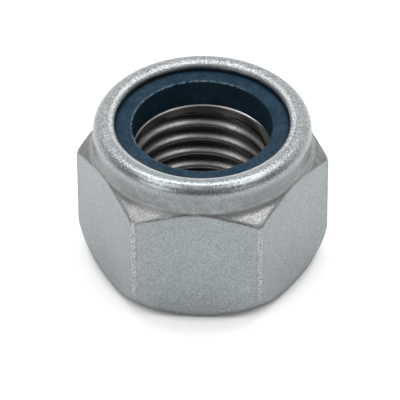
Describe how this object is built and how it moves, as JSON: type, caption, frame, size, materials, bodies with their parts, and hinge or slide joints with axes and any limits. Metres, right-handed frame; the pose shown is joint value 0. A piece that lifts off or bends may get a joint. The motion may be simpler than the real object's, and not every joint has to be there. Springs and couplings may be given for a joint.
{
  "type": "lock nut",
  "caption": "Zinc-plated steel hexagon lock nut with a tall round collar, its lip rolled over a dark blue nylon locking ring.",
  "frame": {"origin": "middle of the flat bearing face, on the thread's axis", "axes": "+Z along the thread, from the bearing face towards the collar; one pair of flats faces -Y and +Y, and a corner points along +X"},
  "size_m": [0.0412, 0.036, 0.0272],
  "materials": {
    "zinc_steel": "matt zinc plating with a fine grain",
    "blue_nylon": "smooth satin nylon"
  },
  "bodies": {
    "root": {"nut_body": "zinc_steel", "nylon_insert": "blue_nylon"}
  },
  "joints": []
}
